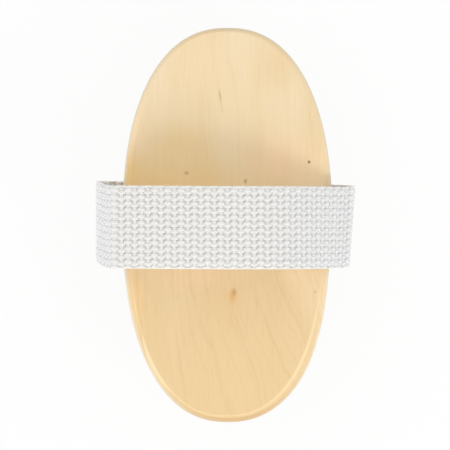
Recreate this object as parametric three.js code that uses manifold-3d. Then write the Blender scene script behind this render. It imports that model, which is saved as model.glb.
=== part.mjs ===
// Oval body brush with a webbing hand strap, in millimetres.
// Two glued boards clamp the strap's stapled tails and hold bristle tufts drawn up by wire.
// +Z points from the bristle tips to the back, and +Y runs along the board. The origin lies on
// the surface that the tips stand on, under the middle of the board.

import * as THREE from "three";
import { mergeGeometries, mergeVertices, toCreasedNormals } from "three/addons/utils/BufferGeometryUtils.js";
import Module from "manifold-3d";

const wasm = await Module();
wasm.setup();

// Boards
const boardLength = 136;
const boardWidth = 72.4;
const ovalPower = 2.3; // 2 would be an ellipse, and more is squarer
const backThickness = 9;
const faceThickness = 9;
const rimRadius = 2.4; // rounding of the two outer rims
const seamChamfer = 0.4; // small bevel on each side of the glue line
const ovalPoints = 72;
const rimSteps = 4;

// Tufts
const freeLength = 20; // bristle below the board
const tipTrim = 0.5; // cut off the tips, so that they stand flat
const holeRadius = 2.5;
const rowPitch = 7.6; // least distance from row to row, along the board
const tuftPitch = 8.2; // least distance from tuft to tuft in a row
const rimWall = 5; // solid wood from the board's side to the recess, which takes the staples
const endRowInset = 2; // the end rows lie this far inside the margin, so that each has several tufts
const fieldCount = 4;
const ringStrands = 4; // strands around the middle one of each tuft
const strandSides = 3;
const holeSides = 8;
const strandShare = 0.2; // a strand's radius, of its hole's
const rootRingShare = 0.46; // the ring of strands at the bed, of the hole's radius
const goldenTurn = 2.4; // radians from one tuft's ring to the next one's

// Beds and wires, in the bristle board's recess
const bedThickness = 1;
const bedMargin = 3.2; // from the outermost tuft's middle to the bed's edge
const wireRadius = 0.35;
const wireOverhang = 2; // beyond the last tuft of each row
const wireBend = 1.2; // where the wire turns from row to row
const wireSides = 6;

// Strap
const strapWidth = 28;
const strapThickness = 2;
const selvedgeBevel = 0.5;
const handGap = 25; // under the strap's flat run
const tailLength = 14; // inside each slot
const leftBulge = 9.2; // from the board's side to the strap's outermost face
const leftBulgeRise = 8; // from the tail to the widest place
const foldInnerRadius = 0.6;
const foldReach = 1.2; // from the board's side out to the fold's upper end
const foldTurn = 75; // degrees
const fallStart = 5; // where the flat run starts to slope, right of the middle
const kneeShares = [0.694, 0.835]; // on the slope, of the half width and of the strap's height
const shinShares = [1.07, 0.377]; // lower on the slope, likewise
const rightBulge = 6.9;
const rightBulgeRise = 6.5;
const rightLean = 1.05; // how much further out the bulge stands at the strap's +Y edge
const leftTailShift = 1.2; // along the board, where the strap wasn't laid quite square
const topShift = -0.7;
const rightTailShift = 0;
const handleShare = 0.39; // of the chord, which makes a quarter turn nearly round
const bendStep = 8; // degrees
const leastSteps = 3;

// Staples, two side by side through each tail
const stapleEdge = 2.5; // from the strap's edge to the nearer staple
const stapleGap = 3; // between the two
const legLength = 7.5;
const wireBreadth = 1;
const wireDepth = 0.7;
const stapleCorner = 0.5;
const staplePoint = 1; // length of a leg's chisel point

// Fits
const clearance = 0.3;
const overrun = 1; // how far a cut reaches past the face that it opens
const creaseAngle = 0.6; // radians

// Levels and places that follow
const faceBottom = freeLength;
const seam = faceBottom + faceThickness;
const backTop = seam + backThickness;
const halfWidth = boardWidth / 2;
const halfLength = boardLength / 2;
const recessInset = rimWall;
const bedInset = rimWall + clearance;
const tuftInset = bedInset + bedMargin;
const recessDepth = bedThickness + 2 * wireRadius + 3 * clearance;
const recessFloor = seam - recessDepth;
const bedBottom = recessFloor + clearance;
const bedTop = bedBottom + bedThickness;
const tailLevel = seam + clearance + strapThickness / 2;
const strapLevel = backTop + handGap + strapThickness / 2;
const foldRadius = foldInnerRadius + strapThickness / 2;
const slotDepth = strapThickness + 2 * clearance;
const crownBottom = seam + slotDepth;
const crownRelief = wireDepth + clearance;
const crownWidth = strapWidth / 2 - stapleEdge - stapleGap / 2;
const staplePitch = crownWidth + stapleGap;

const birch = new THREE.MeshStandardMaterial({ color: 0xeccfa0, roughness: 0.55, metalness: 0 });
const webbing = new THREE.MeshStandardMaterial({ color: 0xeeeeec, roughness: 0.9, metalness: 0 });
const fibre = new THREE.MeshStandardMaterial({ color: 0xd9bd8c, roughness: 0.7, metalness: 0 });
const steel = new THREE.MeshStandardMaterial({ color: 0xb9bcc0, roughness: 0.35, metalness: 1 });

const radians = THREE.MathUtils.degToRad;

// A closed surface through a stack of rings, each anticlockwise seen from the last ring's side.
function loft(rings) {
  const sides = rings[0].length;
  const last = (rings.length - 1) * sides;
  const index = [];
  for (let low = 0; low < last; low += sides) {
    for (let side = 0; side < sides; side += 1) {
      const next = (side + 1) % sides;
      index.push(low + side, low + next, low + sides + next);
      index.push(low + side, low + sides + next, low + sides + side);
    }
  }
  for (let side = 1; side < sides - 1; side += 1) {
    index.push(0, side + 1, side);
    index.push(last, last + side, last + side + 1);
  }
  return new THREE.BufferGeometry().setFromPoints(rings.flat()).setIndex(index);
}

function toSolid(geometry) {
  const bare = geometry.clone();
  bare.deleteAttribute("normal");
  bare.deleteAttribute("uv");
  const merged = mergeVertices(bare);
  const triVerts = new Uint32Array(merged.index.array);
  const vertProperties = merged.attributes.position.array;
  return new wasm.Manifold(new wasm.Mesh({ numProp: 3, vertProperties, triVerts }));
}

function toGeometry(solid) {
  const { vertProperties, triVerts } = solid.getMesh();
  const geometry = new THREE.BufferGeometry();
  geometry.setAttribute("position", new THREE.BufferAttribute(vertProperties, 3));
  geometry.setIndex(new THREE.BufferAttribute(triVerts, 1));
  return geometry;
}

function namedMesh(name, geometry, material) {
  const mesh = new THREE.Mesh(toCreasedNormals(geometry, creaseAngle), material);
  mesh.name = name;
  return mesh;
}

// A box from its two opposite corners.
function boxSolid(low, high) {
  const size = new THREE.Vector3().subVectors(high, low);
  const geometry = new THREE.BoxGeometry(size.x, size.y, size.z);
  const middle = new THREE.Vector3().addVectors(low, high).divideScalar(2);
  return toSolid(geometry.translate(middle.x, middle.y, middle.z));
}

// The oval |x / a|^power + |y / b|^power = 1, drawn in from the rim by an inset.
function ovalRing(inset, z) {
  const bend = 2 / ovalPower;
  const rounded = (value) => Math.sign(value) * Math.abs(value) ** bend;
  return Array.from({ length: ovalPoints }, (_, i) => {
    const turn = (2 * Math.PI * i) / ovalPoints;
    const x = (halfWidth - inset) * rounded(Math.cos(turn));
    const y = (halfLength - inset) * rounded(Math.sin(turn));
    return new THREE.Vector3(x, y, z);
  });
}

function ovalHalfWidth(inset, y) {
  const share = Math.abs(y) / (halfLength - inset);
  return (halfWidth - inset) * (1 - share ** ovalPower) ** (1 / ovalPower);
}

// A regular ring of points around a place.
function roundRing(x, y, z, radius, sides, turn) {
  return Array.from({ length: sides }, (_, i) => {
    const angle = turn + (2 * Math.PI * i) / sides;
    return new THREE.Vector3(x + radius * Math.cos(angle), y + radius * Math.sin(angle), z);
  });
}

// A quarter round of the rim: inset and height above where it starts, from the wall inwards.
function rimProfile() {
  return Array.from({ length: rimSteps + 1 }, (_, i) => {
    const angle = (Math.PI / 2) * (i / rimSteps);
    return { inset: rimRadius * (1 - Math.cos(angle)), rise: rimRadius * Math.sin(angle) };
  });
}

// Where the tufts stand: rows across the board, each spread evenly inside the margin.
function tuftRows() {
  const reach = halfLength - tuftInset - endRowInset;
  const rowCount = Math.floor((2 * reach) / rowPitch) + 1;
  return Array.from({ length: rowCount }, (_, row) => {
    const y = reach * ((2 * row) / (rowCount - 1) - 1);
    const half = ovalHalfWidth(tuftInset, y);
    const count = Math.max(2, Math.floor((2 * half) / tuftPitch) + 1);
    const places = Array.from({ length: count }, (_, i) => half * ((2 * i) / (count - 1) - 1));
    return { y, half, places };
  });
}

const rows = tuftRows();

function rowsOfField(field) {
  const first = Math.round((field * rows.length) / fieldCount);
  const end = Math.round(((field + 1) * rows.length) / fieldCount);
  return { first, end, members: rows.slice(first, end) };
}

// Strap ends
const strapEnds = [
  { side: -1, name: "left", shift: leftTailShift },
  { side: 1, name: "right", shift: rightTailShift },
];

function staplePlaces(end) {
  const x = end.side * (halfWidth - rimWall / 2);
  return [-1, 1].map((way) => ({ x, y: end.shift + (way * staplePitch) / 2 }));
}

// A hole around each leg of a staple, between two levels.
function legHoles(place, low, high) {
  const halfBreadth = wireBreadth / 2 + clearance;
  const halfDepth = wireDepth / 2 + clearance;
  return [-1, 1].map((way) => {
    const y = place.y + (way * (crownWidth - wireDepth)) / 2;
    return boxSolid(
      new THREE.Vector3(place.x - halfBreadth, y - halfDepth, low),
      new THREE.Vector3(place.x + halfBreadth, y + halfDepth, high),
    );
  });
}

// Back board: an oval with a rounded upper rim, slotted below for the strap's tails.
function backBoard() {
  const rings = [ovalRing(seamChamfer, seam), ovalRing(0, seam + seamChamfer)];
  for (const { inset, rise } of rimProfile()) {
    rings.push(ovalRing(inset, backTop - rimRadius + rise));
  }
  let board = toSolid(loft(rings));
  for (const end of strapEnds) {
    const inner = end.side * (halfWidth - tailLength - clearance);
    const outer = end.side * (halfWidth + overrun);
    const halfSlot = strapWidth / 2 + clearance;
    const slot = boxSolid(
      new THREE.Vector3(Math.min(inner, outer), end.shift - halfSlot, seam - overrun),
      new THREE.Vector3(Math.max(inner, outer), end.shift + halfSlot, seam + slotDepth),
    );
    board = board.subtract(slot);
    for (const place of staplePlaces(end)) {
      const relief = new THREE.Vector3(wireBreadth, crownWidth, 0).divideScalar(2).addScalar(clearance);
      const crown = boxSolid(
        new THREE.Vector3(place.x - relief.x, place.y - relief.y, seam),
        new THREE.Vector3(place.x + relief.x, place.y + relief.y, crownBottom + crownRelief),
      );
      board = board.subtract(crown);
    }
  }
  return namedMesh("back_board", toGeometry(board), birch);
}

// Bristle board: an oval with a rounded lower rim, recessed above and drilled for every tuft.
function bristleBoard() {
  const rings = rimProfile()
    .reverse()
    .map(({ inset, rise }) => ovalRing(inset, faceBottom + rimRadius - rise));
  rings.push(ovalRing(0, seam - seamChamfer), ovalRing(seamChamfer, seam));
  const recess = loft([ovalRing(recessInset, recessFloor), ovalRing(recessInset, seam + overrun)]);
  let board = toSolid(loft(rings)).subtract(toSolid(recess));
  const drills = rows.flatMap((row) =>
    row.places.map((x) =>
      loft([
        roundRing(x, row.y, faceBottom - overrun, holeRadius, holeSides, 0),
        roundRing(x, row.y, recessFloor + overrun, holeRadius, holeSides, 0),
      ]),
    ),
  );
  board = board.subtract(toSolid(mergeGeometries(drills)));
  for (const place of strapEnds.flatMap(staplePlaces)) {
    const bottom = crownBottom + wireDepth - legLength - clearance;
    for (const hole of legHoles(place, bottom, seam + overrun)) board = board.subtract(hole);
  }
  return namedMesh("bristle_board", toGeometry(board), birch);
}

// One tuft's strands: a middle one, and a ring that spreads from the bed, past the hole's mouth,
// to the tips.
function tuftStrands(x, y, turn) {
  const strandRadius = holeRadius * strandShare;
  const rootLevel = (bedBottom + bedTop) / 2;
  const rootRing = holeRadius * rootRingShare;
  const mouthRing = holeRadius * Math.cos(Math.PI / holeSides) - clearance - strandRadius;
  const spread = (mouthRing - rootRing) / (rootLevel - faceBottom);
  const tipRing = mouthRing + spread * (faceBottom + tipTrim);
  const strand = (angle, tipReach, rootReach) => {
    const end = (reach, z) => {
      const middle = new THREE.Vector2(reach, 0).rotateAround(new THREE.Vector2(), angle);
      return roundRing(x + middle.x, y + middle.y, z, strandRadius, strandSides, angle);
    };
    return loft([end(tipReach, -tipTrim), end(rootReach, rootLevel)]);
  };
  const ring = Array.from({ length: ringStrands }, (_, i) =>
    strand(turn + (2 * Math.PI * i) / ringStrands, tipRing, rootRing),
  );
  return [strand(turn, 0, 0), ...ring];
}

function midway(row) {
  return (rows[row - 1].y + rows[row].y) / 2;
}

// Tuft field: a slice of bed with its rows' strands, cut flat at the tips.
function tuftField(field) {
  const { first, end, members } = rowsOfField(field);
  const far = halfLength + overrun;
  const low = first > 0 ? midway(first) + clearance : -far;
  const high = end < rows.length ? midway(end) - clearance : far;
  const band = boxSolid(
    new THREE.Vector3(-halfWidth, low, bedBottom - overrun),
    new THREE.Vector3(halfWidth, high, bedTop + overrun),
  );
  const bed = toSolid(loft([ovalRing(bedInset, bedBottom), ovalRing(bedInset, bedTop)])).intersect(band);
  const strands = members.flatMap((row, rowIndex) => {
    const firstTuft = (first + rowIndex) * rows.length;
    return row.places.flatMap((x, i) => tuftStrands(x, row.y, goldenTurn * (firstTuft + i)));
  });
  const ground = boxSolid(
    new THREE.Vector3(-halfWidth, -far, -tipTrim - overrun),
    new THREE.Vector3(halfWidth, far, 0),
  );
  const fused = bed.add(toSolid(mergeGeometries(strands))).subtract(ground);
  return namedMesh(`tuft_field_${field + 1}`, toGeometry(fused), fibre);
}

// A section carried along stations, each with its place and its two cross directions.
function sweep(stations, section) {
  return loft(
    stations.map(({ at, across, up }) =>
      section.map((point) => at.clone().addScaledVector(across, point.x).addScaledVector(up, point.y)),
    ),
  );
}

// A line through corners, each rounded by a curve that starts and ends one bend away from it.
function roundedLine(corners, bend) {
  const points = [corners[0]];
  for (let i = 1; i < corners.length - 1; i += 1) {
    const corner = corners[i];
    const start = corner.clone().add(corners[i - 1].clone().sub(corner).setLength(bend));
    const end = corner.clone().add(corners[i + 1].clone().sub(corner).setLength(bend));
    points.push(...new THREE.QuadraticBezierCurve3(start, corner, end).getPoints(leastSteps));
  }
  return [...points, corners.at(-1)];
}

// Draw wire: one length that runs over every row of a field, there and back.
function drawWire(field) {
  const { members } = rowsOfField(field);
  const level = bedTop + clearance + wireRadius;
  const corners = members.flatMap((row, i) => {
    const way = i % 2 === 0 ? 1 : -1;
    const reach = row.half + wireOverhang;
    return [new THREE.Vector3(-way * reach, row.y, level), new THREE.Vector3(way * reach, row.y, level)];
  });
  const points = roundedLine(corners, wireBend);
  const up = new THREE.Vector3(0, 0, 1);
  const stations = points.map((at, i) => {
    const before = points[Math.max(i - 1, 0)];
    const after = points[Math.min(i + 1, points.length - 1)];
    const across = new THREE.Vector3().crossVectors(up, after.clone().sub(before)).normalize();
    return { at, across, up };
  });
  const section = roundRing(0, 0, 0, wireRadius, wireSides, 0);
  return namedMesh(`draw_wire_${field + 1}`, sweep(stations, section), steel);
}

// The strap's centreline, seen along +Y: its place, its heading in degrees from +X, how far it lies
// along the board there, and how much further out its +Y edge leans.
function strapKnots() {
  const tailEnd = halfWidth - tailLength;
  const foldEnd = -(halfWidth + foldReach);
  const turn = radians(foldTurn);
  const height = strapLevel - tailLevel;
  const onSlope = (shares) => ({ x: halfWidth * shares[0], z: tailLevel + height * shares[1] });
  const left = { shift: leftTailShift, lean: 0 };
  const top = { shift: topShift, lean: 0 };
  const right = { shift: rightTailShift, lean: 0 };
  return [
    { x: -tailEnd, z: tailLevel, heading: 180, ...left },
    { x: -halfWidth, z: tailLevel, heading: 180, ...left },
    { x: strapThickness / 2 - halfWidth - leftBulge, z: tailLevel + leftBulgeRise, heading: 90, ...left },
    {
      x: foldEnd - foldRadius * Math.sin(turn),
      z: strapLevel - foldRadius * (1 - Math.cos(turn)),
      heading: foldTurn,
      ...top,
    },
    { x: foldEnd, z: strapLevel, heading: 0, ...top },
    { x: fallStart, z: strapLevel, heading: 0, ...top },
    { ...onSlope(kneeShares), heading: -36, ...top },
    { ...onSlope(shinShares), heading: -53, shift: topShift, lean: rightLean / 2 },
    {
      x: halfWidth + rightBulge - strapThickness / 2,
      z: tailLevel + rightBulgeRise,
      heading: -90,
      shift: (topShift + rightTailShift) / 2,
      lean: rightLean,
    },
    { x: halfWidth, z: tailLevel, heading: -180, ...right },
    { x: tailEnd, z: tailLevel, heading: -180, ...right },
  ];
}

// Stations along the strap: a cubic curve from knot to knot that holds each knot's heading.
function strapStations() {
  const stations = [];
  const knots = strapKnots();
  for (let i = 0; i < knots.length - 1; i += 1) {
    const from = knots[i];
    const to = knots[i + 1];
    const start = new THREE.Vector2(from.x, from.z);
    const end = new THREE.Vector2(to.x, to.z);
    const handle = handleShare * start.distanceTo(end);
    const leave = new THREE.Vector2(handle, 0).rotateAround(new THREE.Vector2(), radians(from.heading));
    const arrive = new THREE.Vector2(handle, 0).rotateAround(new THREE.Vector2(), radians(to.heading));
    const curve = new THREE.CubicBezierCurve(start, start.clone().add(leave), end.clone().sub(arrive), end);
    const steps = Math.max(leastSteps, Math.ceil(Math.abs(to.heading - from.heading) / bendStep));
    for (let step = i === 0 ? 0 : 1; step <= steps; step += 1) {
      const share = step / steps;
      const eased = THREE.MathUtils.smoothstep(share, 0, 1);
      const place = curve.getPoint(share);
      const heading = curve.getTangent(share);
      stations.push({
        at: new THREE.Vector3(place.x, THREE.MathUtils.lerp(from.shift, to.shift, eased), place.y),
        across: new THREE.Vector3((2 * THREE.MathUtils.lerp(from.lean, to.lean, eased)) / strapWidth, 1, 0),
        up: new THREE.Vector3(-heading.y, 0, heading.x),
      });
    }
  }
  return stations;
}

// Hand strap: a flat band with bevelled selvedges, punched by the staples' legs.
function handStrap() {
  const side = strapWidth / 2;
  const face = strapThickness / 2;
  const section = [
    new THREE.Vector2(side, -face + selvedgeBevel),
    new THREE.Vector2(side, face - selvedgeBevel),
    new THREE.Vector2(side - selvedgeBevel, face),
    new THREE.Vector2(-side + selvedgeBevel, face),
    new THREE.Vector2(-side, face - selvedgeBevel),
    new THREE.Vector2(-side, -face + selvedgeBevel),
    new THREE.Vector2(-side + selvedgeBevel, -face),
    new THREE.Vector2(side - selvedgeBevel, -face),
  ];
  let strap = toSolid(sweep(strapStations(), section));
  for (const place of strapEnds.flatMap(staplePlaces)) {
    for (const hole of legHoles(place, seam, crownBottom)) strap = strap.subtract(hole);
  }
  return namedMesh("hand_strap", toGeometry(strap), webbing);
}

// Strap staple: a flat wire bent square, with chisel points.
function strapStaple(name, place) {
  const side = crownWidth / 2;
  const outline = new THREE.Shape();
  outline.moveTo(side, -legLength + staplePoint);
  outline.absarc(side - stapleCorner, -stapleCorner, stapleCorner, 0, Math.PI / 2, false);
  outline.absarc(-side + stapleCorner, -stapleCorner, stapleCorner, Math.PI / 2, Math.PI, false);
  outline.lineTo(-side, -legLength + staplePoint);
  outline.lineTo(-side + wireDepth, -legLength);
  outline.lineTo(-side + wireDepth, -wireDepth);
  outline.lineTo(side - wireDepth, -wireDepth);
  outline.lineTo(side - wireDepth, -legLength);
  const extrusion = { depth: wireBreadth, bevelEnabled: false, curveSegments: leastSteps };
  const wire = new THREE.ExtrudeGeometry(outline, extrusion);
  wire.translate(0, 0, -wireBreadth / 2);
  const upright = new THREE.Matrix4().makeBasis(
    new THREE.Vector3(0, 1, 0),
    new THREE.Vector3(0, 0, 1),
    new THREE.Vector3(1, 0, 0),
  );
  const staple = namedMesh(name, wire.applyMatrix4(upright), steel);
  staple.position.set(place.x, place.y, crownBottom + wireDepth);
  return staple;
}

const brush = new THREE.Group();
brush.name = "body_brush";
brush.add(backBoard(), bristleBoard(), handStrap());
for (const end of strapEnds) {
  staplePlaces(end).forEach((place, i) => brush.add(strapStaple(`strap_staple_${end.name}_${i + 1}`, place)));
}
for (let field = 0; field < fieldCount; field += 1) brush.add(tuftField(field), drawWire(field));

export default brush;
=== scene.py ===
"""Looks of an oval wooden body brush with a woven hand strap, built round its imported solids.

Every length is in metres. +Z points from the bristle tips to the back, +Y runs along the board.
"""

import math

import bpy
import numpy as np
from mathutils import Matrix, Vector


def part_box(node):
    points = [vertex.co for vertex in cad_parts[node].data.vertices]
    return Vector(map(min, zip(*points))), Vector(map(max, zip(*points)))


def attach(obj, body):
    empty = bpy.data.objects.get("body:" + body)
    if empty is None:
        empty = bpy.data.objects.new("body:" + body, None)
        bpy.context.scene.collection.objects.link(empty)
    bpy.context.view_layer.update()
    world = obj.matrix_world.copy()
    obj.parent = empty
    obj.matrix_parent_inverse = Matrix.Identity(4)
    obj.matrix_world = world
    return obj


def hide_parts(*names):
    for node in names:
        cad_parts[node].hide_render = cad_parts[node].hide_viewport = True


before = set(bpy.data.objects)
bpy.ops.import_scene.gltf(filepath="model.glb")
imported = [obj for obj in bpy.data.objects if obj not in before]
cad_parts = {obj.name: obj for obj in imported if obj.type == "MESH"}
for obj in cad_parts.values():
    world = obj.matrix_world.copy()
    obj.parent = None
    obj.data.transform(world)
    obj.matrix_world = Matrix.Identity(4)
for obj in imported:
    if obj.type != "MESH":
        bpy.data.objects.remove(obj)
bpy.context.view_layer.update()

MM = 0.001
TURN = 2 * math.pi

# Places that the solids give
back_low, back_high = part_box("back_board")
strap_low, strap_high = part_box("hand_strap")
HALF_WIDTH, HALF_LENGTH, BACK_TOP = back_high
SEAM = back_low.z
FACE_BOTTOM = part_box("bristle_board")[0].z
BED_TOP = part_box("tuft_field_1")[1].z

# Boards
OVAL_POWER = 2.3
EGG = 0.011  # how much broader the hand-sanded oval is above the strap than below it
RIM_DROP = 2.4 * MM
SANDED = [(-14 * MM, 23 * MM, -0.5 * MM), (-54 * MM, 20 * MM, 0.48 * MM)]  # middle, reach, how far out
SANDED_FADE = 10 * MM  # from the board's middle line to where the right edge's sanding is whole
RIM_SIDE_INSET = 3.35 * MM  # the rim's width at the board's sides
RIM_END_INSET = 2.35 * MM  # and at its ends
RIM_DRIFT = (-0.6 * MM, 0.45 * MM)  # how far off centre the flat face lies
ARRIS_TURN = math.radians(24)  # the slope at which the rim's rounding breaks from the flat face
ARRIS_LENGTH = 0.5 * MM  # the softened edge between the two
SEAM_CHAMFER = 0.4 * MM
OVAL_POINTS = 288
ARRIS_STEPS = 4
RIM_STEPS = 12
SHARP_ANGLE = math.radians(32)  # edges that turn by more than this stay crisp
RIM_WALL = 5 * MM  # the wood left round the recess for the beds
CLEARANCE = 0.3 * MM
BED_THICKNESS = 1 * MM
BED_MARGIN = 3.2 * MM  # from the beds' outer edge to the outermost tufts' middles
OVERRUN = 1 * MM  # how far a cutter runs past what it cuts

# Tufts
HOLE_RADIUS = 2.5 * MM
HOLE_POINTS = 24
ROW_PITCH = 7.6 * MM
TUFT_PITCH = 8.2 * MM
END_ROW_INSET = 2 * MM  # of the first and last rows
FIELDS = 4
FIBRES = 130  # in each tuft
FIBRE_STEPS = 4
FIBRE_SIDES = 4
FIBRE_RADIUS = 0.15 * MM
TIP_SHARE = 0.45  # a fibre's radius at its tip, of its root's
TIP_UNEVEN = 0.9 * MM
TUFT_SPREAD = 1.65  # the tuft's radius at the tips, of its radius in the hole
ROOT_SHARES = (0.9, 1.0)  # how far out a fibre stands in its hole, of its place on the spiral
LEAN_SHARES = (0.5, 1.4)  # how far it leans out, of an even spread
LEAN_TURN = 0.25  # radians by which it leans off the straight way out
BEND_SHARES = (0.35, 0.65)  # of its lean, by the depth below the board and by its square
THICK_SHARES = (0.75, 1.15)
FIBRE_STRAY = 0.35 * MM
FIELD_SEED = 40

# Strap
STRAP_WIDTH = 28 * MM
STRAP_THICKNESS = 2 * MM
TAIL_LENGTH = 14 * MM
LEFT_RISE = 8 * MM  # from the tail to where the strap stands upright on the left
RIGHT_RISE = 6.5 * MM  # and on the right
RIGHT_BULGE = 7.15 * MM  # how far it stands out from the board on the right
RIGHT_LEAN = 1.05 * MM  # and how much further at its +Y edge
FOLD_RADIUS = 1.6 * MM
FOLD_REACH = 1.2 * MM  # from the board's side out to the fold
FOLD_TURN = 75  # degrees
FALL_START = 5 * MM  # where the flat run starts to bend down
KNEE_SHARES = (0.694, 0.835)  # how far out, of the half width, and how high, from tail to flat run
KNEE_HEADING = -36  # degrees
SHIN_SHARES = (1.07, 0.377)
SHIN_HEADING = -53
LEFT_SHIFT = 1.2 * MM  # how far along the board the strap lies at its left root
TOP_SHIFT = -0.7 * MM  # at the fold
SLOPE_SHIFT = -0.9 * MM  # and on its slope, as the flat run isn't quite square to the board
HANDLE_SHARE = 0.39  # a curve's handles, of its knots' distance
CURVE_SAMPLES = 64

# Weave
PICK = 2.23 * MM  # from weft to weft, along the strap
PAIR_PITCH = 2.18 * MM  # from one pair of warp ends to the next
PAIRS = 12
PAIRS_HALF = PAIRS / 2 * PAIR_PITCH  # from the strap's middle to its selvedge
PAIR_HALF = 0.45 * MM  # how far a pair's end lies from the pair's middle on the strap's face
CROSS_HALF = 0.3 * MM  # and where the two pass each other
WARP_RISE = 0.54 * MM
WARP_HALF_WIDTH = 0.73 * MM
WARP_CROSS_WIDTH = 0.58 * MM
WARP_HALF_DEPTH = 0.41 * MM
EDGE_ENDS = 2  # finer ends in each selvedge
EDGE_PITCH = 0.42 * MM
EDGE_RISE = 0.38 * MM
EDGE_HALF_WIDTH = 0.28 * MM
WARP_FLATNESS = 0.8  # the power of a warp end's wave, which draws its crests flat
YARN_STRAY = 0.035 * MM
PATTERN_STEP = 7.3  # millimetres by which each next yarn's twist is moved on
WEAVE_SEED = 7
WEFT_HALF_WIDTH = 0.7 * MM
WEFT_HALF_DEPTH = 0.48 * MM
WEFT_CRIMP = 0.14 * MM
WEFT_TONE = 0.5
# marks the selvedge, which the cotton brightens with painted light
SELVEDGE_LIGHT_TONE = 2.0
EDGE_SQUEEZE = 0.5  # what the selvedge takes off the weft's width and depth
CORE_HALF = 0.15 * MM  # half the thickness of the core's band
CORE_STEPS = 260
YARN_SIDES = 8
STEPS_PER_PICK = 8
PICK_STEPS = 88
TURN_STEPS = 8

# Wood's figure
LEFT_SLANT = 0.12  # of the growth lines at the board's left, below the strap
RIGHT_SLANT = 0.36  # at its right
HIGH_SLANT = 0.05  # and above the strap
GRAIN_LEAN = 0.15  # how far aslant the grain meets the rim, so where its ends show
LAYER_PITCH = 9 * MM
LAYER_WANDER = 1.7  # in layers
LINE_SETS = [(1.0, 0.88, 0.26), (2.62, 0.78, 0.17)]  # lines for each layer, where a line starts, strength
FIGURE_RANGE = (-0.2 * HALF_LENGTH, 0.3 * HALF_LENGTH, 1.0, 0.32)  # fainter above the strap
WANDER_CELLS = (55, 16, 55)  # of noise in a metre along X, Y and Z
BREAK_CELLS = (230, 34, 230)
BREAK_RANGE = (0.34, 0.54)
THREAD_CELLS = (2600, 70, 2600)
THREAD_RANGE = (0.4, 0.75, 0.0, 0.14)
GLOSS_RANGE = (0.3, 0.7, 0.46, 0.56)
FLECK_CELLS = (1300, 150, 1300)
FLECK_RANGE = (0.52, 0.78, 0.0, 0.22)
BROAD_CELLS = (60, 16, 60)
BROAD_RANGE = (0.3, 0.75, 0.0, 0.5)
WOOD_RELIEF = 0.03 * MM
MARK_DEPTH = 2 * MM
TONE_DEPTH = 30 * MM

# Wood's rim, where upright is 1 on a flat face and 0 on a wall
# painted shade on the walls, stronger as a face turns to a wall
WALL_SHADE_RANGE = (0.5, 0.1, 0.0, 0.7)
# above the strap, where the rim faces away from the lamp and takes painted shade
HIGH_RIM_SHADE_RANGE = (0.1 * HALF_LENGTH, 0.4 * HALF_LENGTH)
RIM_BAND_RANGE = (0.94, 0.6)  # the rounding's upper part, which is paler
HIGH_STEEPER = -0.05  # what that range moves by above the strap
RIM_BAND_SHARE = 0.85
RIM_FOOT_RANGE = (0.05, 0.3)
SOAKED_RANGE = (0.97, 0.84)  # where the end grain darkens
END_GRAIN_RANGE = (0.1, 0.9, 0.76, 0.3)  # weaker towards the board's upper end
BROAD_HIGHLIGHT_RANGE = (1.36, 1.48)  # -x / half width - y / half length, so the lower left rim
ARRIS_RANGE = (0.935, 0.968)  # the arris's foot, and then its edge to the flat face
BROAD_HIGHLIGHT_SHIFTS = (-0.215, -0.131)  # what that range moves by where the painted highlight runs broader
ARRIS_FACE_RANGE = (0.997, 0.98)
HIGHLIGHT_RANGE = (0.3, 0.55, 0.6, 0.08)  # the painted highlight is brighter to the lower left
HIGHLIGHT_SLANT = 0.25
BROAD_HIGHLIGHT_BRIGHTER = 0.4
ARRIS_END_RANGE = (0.1, 0.4)

# Yarn, fibre and wire
TWIST_LAY = 1.3  # millimetres along the yarn for one turn of its plies
PLIES = 2
# painted shade in the grooves between the plies
TWIST_RANGE = (-1.0, 0.2, 0.55, 0.0)
FUZZ_CELLS = 2600.0
FUZZ_RANGE = (0.35, 0.7, 0.3, 0.0)
SOILING_CELLS = 60.0
SOILING_RANGE = (0.4, 0.8, 0.0, 0.3)
HEIGHT_SHARES = (0.5, 0.8)  # of the twist and of the fuzz
YARN_RELIEF = 0.09 * MM
LEFT_END_SHADE = (-36 * MM, -41 * MM, 0.0, 0.62)  # from where to where painted shade greys the strap towards its ends
RIGHT_END_SHADE = (5 * MM, 40 * MM, 0.0, 0.55)
STUFFER_PITCH = 0.55 * MM
STUFFER_CELLS = 1800.0
STUFFER_RANGE = (0.3, 0.7, 0.0, 0.5)
RIDGE_CELLS = (9000, 9000, 300)
RIDGE_RANGE = (0.4, 0.7, 0.0, 0.4)
BAND_CELLS = (700, 700, 120)
BAND_RANGE = (0.5, 0.8, 0.0, 0.35)
FIBRE_RELIEF = 0.01 * MM
MOTTLE_CELLS = 1500.0
DIE_CELLS = (200, 6000, 6000)
DIE_RANGE = (0.3, 0.7)
DIE_GLOSS = (-0.08, 0.12)  # what the die lines take from the wire's roughness, and add to it

# Studio and camera
FLOOR_HALF = 3.0
FLOOR_CORNERS = [(-1, -1), (1, -1), (1, 1), (-1, 1)]
PAPER_CELLS = 40.0
PAPER_GLOW = 0.91  # how white the paper looks beside its own shade
SHADE_GLOW = 0.6  # and under the brush, where its shadow lies
SHADE_SHARES = (0.85, 1.04)  # from where to where the one gives way, of the oval's reach
SKY_SIDES = 1.45  # the sky's level at the horizon beyond the strap's ends
SKY_ENDS = 1.2  # beyond the board's ends
SKY_LEAN = (-0.55, -0.1)  # what the horizon's level gains towards +X and +Y
SKY_HIGH = 0.68  # overhead
LAMP_PLACE = (0.85, -0.7, 0.8)
LAMP_SIZE = 0.5
LAMP_POWER = 4.7
SENSOR = 36.0
IMAGE_PIXELS = 450
PIXELS_PER_METRE = 2904.0  # at the back's face
CAMERA_HEIGHT = 1.1  # above the back's face
BOARD_ASIDE = 0.84 * MM  # right of the picture's middle


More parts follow.
